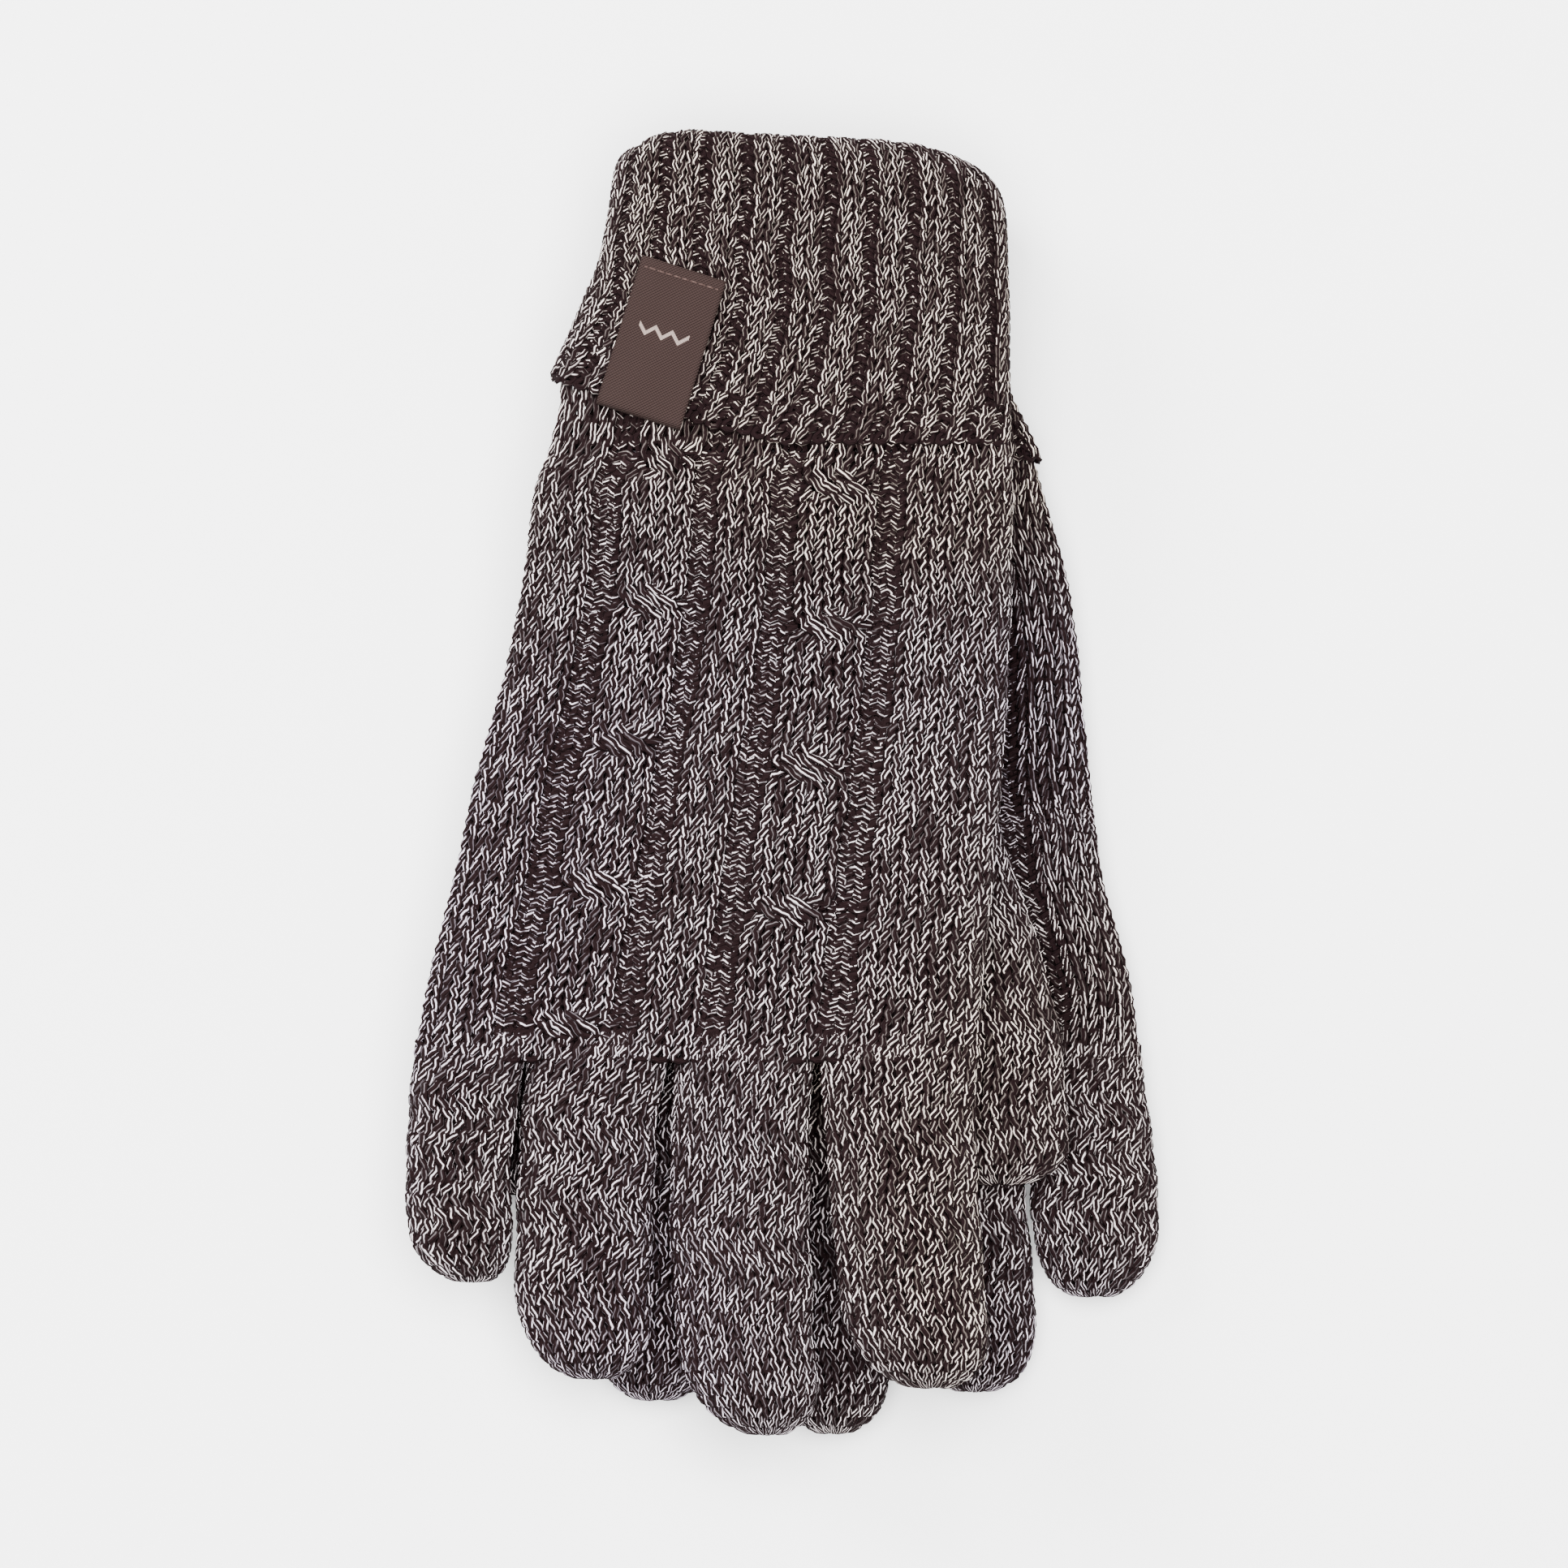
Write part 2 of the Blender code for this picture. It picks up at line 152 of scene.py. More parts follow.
# The back of the right hand, from its left edge: kind, how many columns, width of each
HAND_BANDS = (
    (KNIT, 4, 1.0),
    (PURL, 2, 0.85),
    (KNIT, 4, 1.0),
    (PURL, 2, 0.72),
    (KNIT, 3, 1.0),
    (PURL, 2, 0.8),
    (KNIT, 4, 1.12),
    (PURL, 2, 0.85),
    (KNIT, 7, 1.0),
)
HAND_COLUMNS = [kind for kind, count, _width in HAND_BANDS for _ in range(count)]
HAND_WIDTHS = [width for _kind, count, width in HAND_BANDS for _ in range(count)]
CABLE_A, CABLE_B = 6, 17  # the cables' first columns
CROSSING_A, CROSSING_B = 10.6, 12.8  # rows of their first crossings, from the hand's top
HAND_MARGINS = (0.3 * MM, 0.7 * MM)  # from the CAD hand's upper and lower ends to the grid

# The hand's knitting that is seen inside the turned-back cuff
NECK_REACH = {"right": 14 * MM, "left": 5 * MM}
NECK_STEP = 2 * COURSE
NECK_FADE = 2  # steps, over which it is drawn in
NECK_DRAW_IN = 0.05
NECK_DROP = 0.4 * MM

# Fingers and thumbs
FINGER_MARGINS = (0.7 * MM, 0.25 * MM)  # the same, at the root and the tip
FINGER_FULLNESS = 1.04  # more rows than the length needs, for the way round the tip
ROOT_STEP = 1.5 * MM  # most that a finger's root is moved to meet the hand
ROOT_LENGTH = 9 * MM
ROOT_OVERLAP = 0.7  # rows that the hand's and a finger's knitting reach past their seam
KNUCKLE_BEND = 8 * MM  # length near a finger's root, which sets where the cuts across the cloth behind it lie
BEND_CUTS = 8  # across the cloth behind it
BEND_CUT_REACH = 1.2  # how far they go, in lengths of the bend

# The turned-back cuff
RIB_DEPTH = 1.35 * MM
RIB_REPEATS = 10  # whole ones across each side of the cuff
RIB_PURL_WIDTH = 0.85
RIB_LINES = 24
RIB_LINE_POWER = 0.8  # below 1, the lines are closer towards the fold
FOLD_ROWS = 4  # over which the ribs flatten out at the fold
FOLD_GAP = 0.2 * MM
BAND_REPEATS = 16
BAND_HEIGHT = 6 * MM
BAND_ROWS = 3
BAND_LINES = 4
BAND_DEPTH = 0.4 * MM
BAND_OVERHANG = 0.35  # rows
BAND_GAP = 0.5 * MM
RIM_HEIGHT = 5.2 * MM  # of the fold, from the turned-back layer's face to the standing layer's
MOUTH_LIP = 0.5 * MM
MOUTH_DEPTH = 18 * MM  # of the knitting seen inside the cuff
MOUTH_LINES = 10
FLAP_STEP = 1.5 * MM  # less than the drop from the turned-back layer to the standing one
EDGE_MARGIN = 0.6 * MM
FOLD_MARGIN = 2 * MM
CORNER_DROP = 12 * MM  # from the fold's highest point to where its rounded corners end
FEEL_STEPS = 240  # along the cuff
FEEL_EDGE, FEEL_FOLD = 31, 25  # places across the cuff

# The label
LABEL_STEPS = (20, 34)  # across and down its front
LABEL_LIFT = 0.9 * MM  # over the CAD label
LABEL_INSET = 0.05  # share of the way to the label's middle, where its height is felt for
RIPPLE = 0.12 * MM
RIPPLE_ACROSS, RIPPLE_DOWN = 9, 5  # radians over the whole label
LABEL_FOLD = 4.6 * MM  # height of the fold round the cuff's edge
FOLD_BULGE = 1.1  # millimetres that the fold reaches past the end of the front
FOLD_STEPS = 8
LABEL_TUCK = 8 * MM  # length of the leaf behind the edge
TUCK_STEPS = 4
TAPE_THICKNESS = 0.35 * MM
LABEL_MARGIN = 0.06  # share of the width, beside the seam
SEAM_SHARE = 0.07  # share of the length, above the seam
STITCHES = 9
STITCH_STEPS = 8
STITCH_LIFT = 0.14 * MM
STITCH_SWING = 0.22 * MM  # up and down through the tape
THREAD_RADIUS = 0.19 * MM

# The weave of the label's tape, and its plain zigzag
TWILL = 0.62 * MM
WEFT = 0.3 * MM
WEFT_RELIEF = 0.4  # against the twill's
# how strongly painted shade darkens the twill's grooves in the tape's colour
WEAVE_PAINTED_SHADE = 0.18
ZIGZAG = 3.2 * MM
MOTIF_DOWN = 12 * MM
MOTIF_MIDDLE = 8.1 * MM
MOTIF_HALF = 4.8 * MM  # half of its length
MOTIF_LINE = 0.45 * MM  # half of its line's thickness

# The look of the yarn
DRIFT_SCALE = 700  # of the noise that shifts its twist and what shows of its pale plies
FIBRE_SCALE = 2600
TINT_SCALE = 14
TWIST_DRIFT = 0.16  # turns
PLY_EDGE = 0.015  # turns: half of the soft edge of a pale ply
FRONT_SHIFT = -0.65  # of how far the yarn is on the cloth's face, before the drift is added, for the painted shade on the pale plies
FRONT_DRIFT = 1.3
LEG_STIR = 7.31  # makes a second random number from a leg's first
FIBRE_GAIN = 1.2
FIBRE_FLOOR = 0.45  # least share of the pale colour that is left between fibres

# Colours
BLACK, WHITE = (0, 0, 0), (1, 1, 1)
DARK_YARN = (0.007, 0.0032, 0.0036)
PALE = (0.76, 0.68, 0.70)
PALE_LILAC = (0.70, 0.61, 0.71)
PALE_BEIGE = (0.78, 0.67, 0.58)
COVERED = (0.08, 0.08, 0.08)  # what is left of the pale plies where dark ones cover them
CORE = (0.007, 0.003, 0.0035)
CORE_PALE = (0.016, 0.009, 0.010)
INSIDE_PALE = (0.11, 0.09, 0.095)
LINING = (0.02, 0.016, 0.018)
LINING_PALE = (0.06, 0.05, 0.055)
TAPE = (0.034, 0.021, 0.019)
# the tape's colour in painted shade, in the twill's grooves
TAPE_PAINTED_SHADE = (0.010, 0.006, 0.0055)
TAPE_MOTIF = (0.22, 0.17, 0.15)
THREAD = (0.03, 0.018, 0.016)
THREAD_PALE = (0.07, 0.045, 0.04)
FLOOR = (0.96, 0.96, 0.96)
SPECULAR = 0.04

# The stage
WORLD_STRENGTH = 1.2
KEY_POWER = 120
SIDE_POWER = 50
FLOOR_SIZE = 6
FLOOR_DROP = 0.1 * MM
CAMERA_HEIGHT = 3.0
CAMERA_REACH = 20
SENSOR_WIDTH = 36
FRAME_WIDTH = 0.2898  # what the frame takes in, at FRAME_LEVEL
FRAME_LEVEL = 0.7  # share of the gloves' height


# ---------------------------------------------------------------- surfaces read from the frame


class Skin:
    """The surface of a CAD node, read with rays and sections."""

    def __init__(self, frame, node):
        mesh = frame["nodes"][node].data
        mesh.calc_loop_triangles()
        points = np.empty(len(mesh.vertices) * 3)
        mesh.vertices.foreach_get("co", points)
        self.points = points.reshape(-1, 3)
        corners = np.empty(len(mesh.loop_triangles) * 3, np.int32)
        mesh.loop_triangles.foreach_get("vertices", corners)
        self.triangles = corners.reshape(-1, 3)
        self.tree = BVHTree.FromPolygons(self.points.tolist(), self.triangles.tolist())
        sides = np.concatenate([self.triangles[:, pair] for pair in ([0, 1], [1, 2], [2, 0])])
        self.starts, self.ends = self.points[sides[:, 0]], self.points[sides[:, 1]]
        self.low, self.high = self.points.min(0), self.points.max(0)

    def extremes(self, y):
        """The leftmost and rightmost points of the section at y, as (x, z)."""
        y = min(max(y, self.low[1] + END_INSET), self.high[1] - END_INSET)
        before, after = self.starts[:, 1] - y, self.ends[:, 1] - y
        crossing = before * after < 0
        share = (before / np.where(crossing, before - after, 1))[crossing][:, None]
        points = self.starts[crossing] * (1 - share) + self.ends[crossing] * share
        left, right = points[points[:, 0].argmin()], points[points[:, 0].argmax()]
        return (left[0], left[2]), (right[0], right[2])

    def height(self, x, y, from_above):
        """z of the surface over or under a point, or None."""
        start = self.high[2] + RAY_START if from_above else self.low[2] - RAY_START
        direction = Vector((0, 0, -1 if from_above else 1))
        hit = self.tree.ray_cast(Vector((x, y, start)), direction)[0]
        return None if hit is None else hit.z

    def contour(self, row_y, from_above):
        """Half of a section, over or under, from its left edge to its right. row_y gives y at x."""
        left, right = self.low[[0, 2]], self.high[[0, 2]]
        for _ in range(END_PASSES):
            left = self.extremes(row_y(left[0]))[0]
            right = self.extremes(row_y(right[0]))[1]
        points = [(left[0], row_y(left[0]), left[1])]
        for step in range(1, CONTOUR_STEPS):
            across = -math.cos(math.pi * step / CONTOUR_STEPS)
            x = 0.5 * (left[0] + right[0]) + 0.5 * (right[0] - left[0]) * across
            y = row_y(x)
            z = self.height(x, y, from_above)
            if z is not None:
                points.append((x, y, z))
        points.append((right[0], row_y(right[0]), right[1]))
        return np.array(points)

    def cavity_contour(self, row_y, from_above):
        """Half of the section of the hollow inside, over or under, from left to right."""
        middle = 0.5 * (self.low + self.high)
        edges = []
        for end, sign in enumerate((-1, 1)):
            x = middle[0]
            for _ in range(END_PASSES):
                start = Vector((middle[0], row_y(x), middle[2]))
                hit = self.tree.ray_cast(start, Vector((sign, 0, 0)))[0]
                x = self.extremes(row_y(x))[end][0] if hit is None else hit.x
            edges.append(x)
        points = [(edges[0], row_y(edges[0]), middle[2])]
        for step in range(1, CAVITY_STEPS):
            across = 0.5 - 0.5 * math.cos(math.pi * step / CAVITY_STEPS)
            x = edges[0] + (edges[1] - edges[0]) * across
            start = Vector((x, row_y(x), middle[2]))
            hit = self.tree.ray_cast(start, Vector((0, 0, 1 if from_above else -1)))[0]
            if hit is not None:
                points.append((x, row_y(x), hit.z))
        points.append((edges[1], row_y(edges[1]), middle[2]))
        return np.array(points)


def along(points, shares):
    """Points at these shares of a polyline's length."""
    lengths = np.concatenate([[0], np.cumsum(np.linalg.norm(np.diff(points, axis=0), axis=1))])
    lengths /= lengths[-1]
    return np.stack([np.interp(shares, lengths, points[:, k]) for k in range(3)], axis=1)


def smoothed(grid):
    """The grid with its facets rounded off but not drawn in. Its border keeps its place."""
    grid = grid.copy()
    for weight in SMOOTHING_WEIGHTS * SMOOTHING_PASSES:
        grid[1:-1] += weight * (grid[:-2] - 2 * grid[1:-1] + grid[2:])
        grid[:, 1:-1] += weight * (grid[:, :-2] - 2 * grid[:, 1:-1] + grid[:, 2:])
    return grid


def normals_of(grid, from_above):
    """Outward normals of half of a tube."""
    normals = np.cross(np.gradient(grid, axis=0), np.gradient(grid, axis=1))
    if (normals[0, :, 2].mean() > 0) != from_above:
        normals = -normals
    return unit(normals)


def unit(vectors):
    return vectors / (np.linalg.norm(vectors, axis=-1, keepdims=True) + 1e-12)


def grid_over(skin, row_ys, columns, from_above):
    """Rows of points over or under a tube. row_ys are functions of x."""
    shares = np.linspace(0, 1, 2 * columns + 1)
    rows = [along(skin.contour(row_y, from_above), shares) for row_y in row_ys]
    return smoothed(np.array(rows))


def sample(grid, row, column):
    """Bilinear values of a grid at fractional rows and columns. Rows may lie beyond its ends."""
    column = np.clip(column, 0, grid.shape[1] - 1.001)
    r = np.clip(row, 0, grid.shape[0] - 2).astype(int)
    c = column.astype(int)
    fr, fc = (row - r)[..., None], (column - c)[..., None]
    top = grid[r, c] * (1 - fc) + grid[r, c + 1] * fc
    bottom = grid[r + 1, c] * (1 - fc) + grid[r + 1, c + 1] * fc
    return top * (1 - fr) + bottom * fr


# ---------------------------------------------------------------- knitting


def ease(value):
    """From 0 to 1 with a soft start and end."""
    value = np.clip(value, 0, 1)
    return value * value * (3 - 2 * value)


def wave(size, by_row, by_wale, row, run, start=0):
    """A shift that rises and falls along the yarn and from row to row."""
    return size * np.sin(by_row * row + by_wale * run + start)


class Pattern:
    """What each column of a piece of knitting is, from its left edge."""

    def __init__(self, columns, cables=(), widths=None, plain_from=math.inf):
        self.columns = np.array(columns)
        self.cables = cables  # (first column, row of the first crossing)
        self.plain_from = plain_from  # the row where everything turns to plain knitting
        widths = np.array(widths if widths is not None else [1.0] * len(columns))
        self.edges = np.concatenate([[0], np.cumsum(widths)]) / widths.sum()

    def __len__(self):
        return len(self.columns)


def plain(count):
    return Pattern([KNIT] * count)


def crossed_cable(across, row, v, first_crossing):
    """Where a cable's yarn goes: wales from the cable's left edge, and metres outwards.

    across is 0 to 4 over its four columns. At a crossing the left strand, whose middle is at 1,
    passes over the right one, whose middle is at 3. The last of the results is how far the
    crossing is on, from 0 to 1 and back."""
    turns = (row - first_crossing) / CABLE_ROWS
    nearest = np.round(turns)
    done = ease(((v - first_crossing) / CABLE_ROWS - nearest) / CROSSING_SHARE + 0.5)
    on_left = across < 2
    over = on_left == (turns < nearest)
    hump = np.sin(math.pi * done)
    middle = np.where(over, 1 + 2 * done, 3 - 2 * done)
    from_middle = across - np.where(on_left, 1, 3)
    moved = middle + from_middle * (1 + CROSSING_SPREAD * hump)
    outwards = np.where(over, CABLE_LIFT, -CABLE_DROP * CABLE_LIFT) * hump
    return moved, outwards, hump


def loop_path(pattern, rows, steps, purl_depth):
    """Where a row's yarn runs: columns, rows and heights above the cloth's middle, for every row.

    The last of the results is 1 where the yarn shows on the cloth's face and 0 where it dips in; the
    yarn's material paints shade on its pale plies by it."""
    wales = len(pattern)
    run = np.arange(wales * steps + 1) / steps
    wale = np.minimum(run.astype(int), wales - 1)
    t = run - wale
    from_edge = np.minimum(t, 1 - t)
    row = np.arange(rows)[:, None] + 0.5
    patterned = row < pattern.plain_from
    strength = ease((pattern.plain_from - row) / PATTERN_FADE)
    purl = pattern.columns[wale] == PURL
    neighbour = np.clip(wale + np.where(t < 0.5, -1, 1), 0, wales - 1)
    at_change = (pattern.columns[neighbour] == PURL) != purl
    plain_out = -LOOP_DEPTH * np.cos(4 * math.pi * t)
    out = plain_out * np.where(purl, PURL_LOOP, 1.0)
    out = np.where(at_change, out * ease(from_edge / CHANGE_SHARE), out)
    shared = np.where(at_change, 0.5 * ease(1 - 2 * from_edge), 0)
    depth = -purl_depth * np.where(purl, 1 - shared, shared)
    u = np.tile(run + LOOP_OPENING * np.sin(4 * math.pi * t), (rows, 1))
    v = row - 0.5 * LOOP_HEIGHT * np.cos(2 * math.pi * t)
    n = np.where(patterned, out + strength * depth, plain_out)
    for first, crossing in pattern.cables:
        across = u - first
        in_cable = (wale >= first) & (wale < first + CABLE_COLUMNS)
        inside = in_cable[None, :] & patterned
        moved, outwards, hump = crossed_cable(across, row, v, crossing)
        drawn_in = CROSSING_PINCH * hump * patterned
        left = np.clip(1 + across / 2, 0, 1) * (across < 0)
        right = np.clip(3 - across / 2, 0, 1) * (across > CABLE_COLUMNS)
        u = np.where(inside, first + moved, u + drawn_in * (left - right))
        n = n + np.where(inside, outwards + strength * CABLE_BULGE, 0)
    # Painted shade: the pale plies are dimmed where a loop dips into the cloth, and more on purl
    # bumps
    legs = 0.5 - 0.5 * np.cos(4 * math.pi * t)
    painted_unshaded_share = np.where(purl & patterned, PURL_PAINTED_UNSHADED * (1 - legs), legs)
    return run, row, u, v, n, painted_unshaded_share


def yarn_rows(grid, from_above, pattern, rows, detail, skin_depth, purl_depth, seed, ends=(0, 0)):
    """The yarn of one half of a tube: its points, its faces and their UVs.

    ends is how many rows the knitting is held back from the grid's first and last row."""
    steps, sides = detail
    run, row, u, v, n, painted_unshaded_share = loop_path(pattern, rows, steps, purl_depth)
    rng = np.random.default_rng(seed)
    u = u + rng.normal(0, ROW_SHIFT, (rows, 1)) + wave(*SWAY, row, run)
    v = v + wave(*WAVER, row, run, seed)
    share = np.interp(np.clip(u, 0, len(pattern)), np.arange(len(pattern) + 1), pattern.edges)
    columns = share * (grid.shape[1] - 1)
    at_rows = (v + ends[0]) / (rows + ends[0] + ends[1]) * (grid.shape[0] - 1)
    normal = unit(sample(normals_of(grid, from_above), at_rows, columns))
    reach = sample(grid, at_rows, columns + 1) - sample(grid, at_rows, columns - 1)
    width = np.linalg.norm(reach, axis=2) * (grid.shape[1] - 1) / 2 / len(pattern)
    radius = YARN_RADIUS * np.clip(width / WALE, THINNEST, 1.0)
    centre = sample(grid, at_rows, columns) + normal * (n - skin_depth)[..., None]
    centre[..., 2] = np.maximum(centre[..., 2], radius)
    points = tube_points(centre, normal, radius, sides)
    length = np.linalg.norm(np.diff(centre, axis=1), axis=2)
    travelled = np.concatenate([np.zeros((rows, 1)), np.cumsum(length, axis=1)], axis=1)
    travelled += rng.uniform(0, TWIST_STARTS, (rows, 1)) * TWIST_LENGTH
    leg_numbers = rng.uniform(0, 1, (rows, 2 * len(pattern) + 1))
    leg = leg_numbers[:, (2 * run).astype(int)]
    return (points, *tube_faces(rows, len(run), sides, travelled, painted_unshaded_share, leg))


def tube_points(centre, normal, radius, sides):
    """Rings of points round every row's path."""
    tangent = unit(np.gradient(centre, axis=1))
    side = unit(np.cross(tangent, normal))
    top = np.cross(side, tangent)
    angle = 2 * math.pi * np.arange(sides) / sides
    ring = np.cos(angle)[:, None] * side[:, :, None] + np.sin(angle)[:, None] * top[:, :, None]
    return (centre[:, :, None] + radius[:, :, None, None] * ring).reshape(-1, 3)


def tube_faces(rows, count, sides, travelled, painted_unshaded_share, leg):
    """Quads of the rows' tubes, and their UVs.

    "yarn" is (yarn length, turn), "leg" is (on the face or dipping in, for painted shade on the pale
    plies, and a number for each leg of a loop) and "OFBake" gives each quad its own place in a band
    for each row."""
    r, s, a = np.meshgrid(np.arange(rows), np.arange(count - 1), np.arange(sides), indexing="ij")
    start = (r * count + s) * sides
    b = (a + 1) % sides
    faces = np.stack([start + a, start + b, start + sides + b, start + sides + a], axis=-1)
    low, high = a / sides, (a + 1) / sides

    def corners(near, far, bottom, top):
        return np.stack([near, bottom, near, top, far, top, far, bottom], axis=-1).reshape(-1, 2)

    border = BAKE_BORDER / rows
    low_v = r / rows + border + low * (1 / rows - 2 * border)
    high_v = r / rows + border + high * (1 / rows - 2 * border)
    uvs = {
        "yarn": corners(travelled[r, s], travelled[r, s + 1], low, high),
        "leg": corners(painted_unshaded_share[r, s], painted_unshaded_share[r, s + 1], leg[r, s], leg[r, s]),
        "OFBake": corners(s / (count - 1), (s + 1) / (count - 1), low_v, high_v),
    }
    return faces.reshape(-1, 4), uvs


def sliced(points, triangles, ys):
    """The mesh with edges added across it at these ys."""
    mesh = bmesh.new()
    corners = [mesh.verts.new(point) for point in points]
    for triangle in triangles:
        mesh.faces.new([corners[k] for k in triangle])
    for y in ys:
        everything = mesh.verts[:] + mesh.edges[:] + mesh.faces[:]
        bmesh.ops.bisect_plane(mesh, geom=everything, plane_co=(0, y, 0), plane_no=(0, 1, 0))
    bmesh.ops.triangulate(mesh, faces=mesh.faces[:])
    mesh.verts.index_update()
    points = np.array([tuple(vertex.co) for vertex in mesh.verts])
    triangles = np.array([[vertex.index for vertex in face.verts] for face in mesh.faces])
    mesh.free()
    return points, triangles


def core_of(skin, bend_ys):
    """The CAD piece, thinned: the dark cloth behind the yarn, and which triangles face inwards."""
    points, index = np.unique(np.round(skin.points, WELD_DIGITS), axis=0, return_inverse=True)
    points, triangles = sliced(points, index.reshape(-1)[skin.triangles], bend_ys)
    a, b, c = (points[triangles[:, k]] for k in range(3))
    facing = np.cross(b - a, c - a)
    normals = np.zeros_like(points)
    for k in range(3):
        np.add.at(normals, triangles[:, k], facing)
    normals = unit(normals)
    enclosed = np.array([
        skin.tree.ray_cast(Vector(point + INNER_PROBE * normal), Vector(normal))[0] is not None
        for point, normal in zip(points, normals)
    ])
    depth = np.where(enclosed, LINING_DEPTH, CORE_DEPTH)
    return points - normals * depth[:, None], triangles, enclosed[triangles].all(axis=1)


def knitted(name, halves, skin, looks, bend_ys=()):
    """One mesh of the yarn of several halves, and the core behind it when skin is given.

    looks are the materials of the yarn and of the core's outer and inner side."""
    points, faces, offset = [], [], 0
    uvs = {"yarn": [], "leg": [], "OFBake": []}
    for place, (half_points, half_faces, half_uvs) in enumerate(halves):
        points.append(half_points)
        faces.append(half_faces + offset)
        half_uvs["OFBake"] = (half_uvs["OFBake"] + [place, 0]) / [len(halves), 1]
        for label, values in half_uvs.items():
            uvs[label].append(values)
        offset += len(half_points)
    quads = np.concatenate(faces)
    slots = np.zeros(len(quads), int)
    triangles = np.zeros((0, 3), int)
    if skin is not None:
        core_points, triangles, inner = core_of(skin, bend_ys)
        points.append(core_points)
        triangles = triangles + offset
        slots = np.concatenate([slots, 1 + inner])
    spare = np.zeros((triangles.size, 2))
    uvs = {label: np.concatenate([*values, spare]) for label, values in uvs.items()}
    return mesh_object(name, np.concatenate(points), quads, triangles, uvs, looks, slots)


def mesh_object(name, points, quads, triangles, uvs, looks, slots):
    """A mesh of quads and triangles. slots is each face's place among the looks."""
    mesh = bpy.data.meshes.new(name)
    mesh.vertices.add(len(points))
    mesh.vertices.foreach_set("co", points.astype(np.float32).ravel())
    corners = np.concatenate([quads.ravel(), triangles.ravel()]).astype(np.int32)
    mesh.loops.add(len(corners))
    mesh.loops.foreach_set("vertex_index", corners)
    sizes = np.concatenate([np.full(len(quads), 4), np.full(len(triangles), 3)])
    starts = np.concatenate([[0], np.cumsum(sizes)[:-1]]).astype(np.int32)
    mesh.polygons.add(len(sizes))
    mesh.polygons.foreach_set("loop_start", starts)
    for look in looks:
        mesh.materials.append(look)
    mesh.polygons.foreach_set("material_index", slots.astype(np.int32))
    mesh.polygons.foreach_set("use_smooth", np.ones(len(sizes), bool))
    mesh.update(calc_edges=True)
    for label, values in uvs.items():
        layer = mesh.uv_layers.new(name=label)
        layer.data.foreach_set("uv", values.astype(np.float32).ravel())
    return linked(bpy.data.objects.new(name, mesh))


def linked(obj):
    bpy.context.scene.collection.objects.link(obj)
    return obj


# ---------------------------------------------------------------- the pieces


def hand_pattern(side, rows_above, plain_from):
    """The back of the hand, seen with the cuff up. The left glove is its mirror image."""
    first_a, first_b = CROSSING_A + rows_above, CROSSING_B + rows_above
    if side == "right":
        cables = ((CABLE_A, first_a), (CABLE_B, first_b))
        return Pattern(HAND_COLUMNS, cables, HAND_WIDTHS, plain_from)
    last_column = len(HAND_COLUMNS) - CABLE_COLUMNS
    cables = ((last_column - CABLE_B, first_b), (last_column - CABLE_A, first_a))
    return Pattern(HAND_COLUMNS[::-1], cables, HAND_WIDTHS[::-1], plain_from)


def even_rows(skin, first_y, last_y):
    """Constant-y rows at equal steps along the top of a tube, so that they close up at its tip."""
    profile = []
    for y in np.linspace(first_y, last_y, PROFILE_POINTS):
        left, right = skin.extremes(y)
        x = 0.5 * (left[0] + right[0])
        profile.append((x, y, skin.height(x, y, True) or left[1]))
    steps = along(np.array(profile), np.linspace(0, 1, GRID_ROWS))
    return [lambda x, y=y: y for y in steps[:, 1]]


def with_neck(grid, reach, from_above):
    """The hand's grid carried on up inside the turned-back cuff, a little narrower and flatter."""
    middle = grid[0].mean(axis=0)
    necks = []
    for k in range(round(reach / NECK_STEP), 0, -1):
        share = min(k / NECK_FADE, 1)
        row = grid[0].copy()
        row[:, 0] = middle[0] + (row[:, 0] - middle[0]) * (1 - NECK_DRAW_IN * share)
        row[:, 2] -= (NECK_DROP if from_above else -NECK_DROP) * share
        row[:, 1] += k * NECK_STEP
        necks.append(row)
    return np.concatenate([np.array(necks), grid])


def hand_pieces(frame, side, looks):
    """The back of the hand, which carries the cloth behind both, and the palm."""
    skin = Skin(frame, f"{side}_hand")
    first_y, last_y = skin.high[1] - HAND_MARGINS[0], skin.low[1] + HAND_MARGINS[1]
    columns = len(HAND_COLUMNS)
    reach = NECK_REACH[side]
    rows_above = round(reach / COURSE)
    rows = rows_above + round((first_y - last_y) / COURSE)
    lines = even_rows(skin, first_y, last_y)
    over = with_neck(grid_over(skin, lines, columns, True), reach, True)
    under = with_neck(grid_over(skin, lines, columns, False), reach, False)
    pattern = hand_pattern(side, rows_above, rows - PLAIN_ROWS)
    detail = FINE if side == "right" else COARSE
    ends = (0, -ROOT_OVERLAP)
    back_yarn = yarn_rows(
        over, True, pattern, rows, detail, SKIN_DEPTH_ABOVE, PURL_DEPTH, seed=1, ends=ends
    )
    palm_yarn = yarn_rows(
        under, False, plain(columns), rows, COARSE, SKIN_DEPTH_BELOW, 0, seed=2, ends=ends
    )
    back = knitted(f"{side}_hand_back", [back_yarn], skin, looks)
    palm = knitted(f"{side}_hand_palm", [palm_yarn], None, looks)
    for piece in (back, palm):
        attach(piece, f"{side}_palm")
    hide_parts(f"{side}_hand")


def met(grid, hand, from_above):
    """A finger's grid, raised or lowered at its root to meet the hand's surface."""
    root = grid[0]
    wanted = [hand.height(x, hand.low[1] + COURSE, from_above) for x in root[:, 0]]
    step = np.array([0 if z is None else z - here for z, here in zip(wanted, root[:, 2])])
    step = np.clip(step, -ROOT_STEP, ROOT_STEP)
    fade = 1 - ease((root[:, 1].mean() - grid[:, :, 1].mean(axis=1)) / ROOT_LENGTH)
    grid = grid.copy()
    grid[:, :, 2] += fade[:, None] * step
    return grid


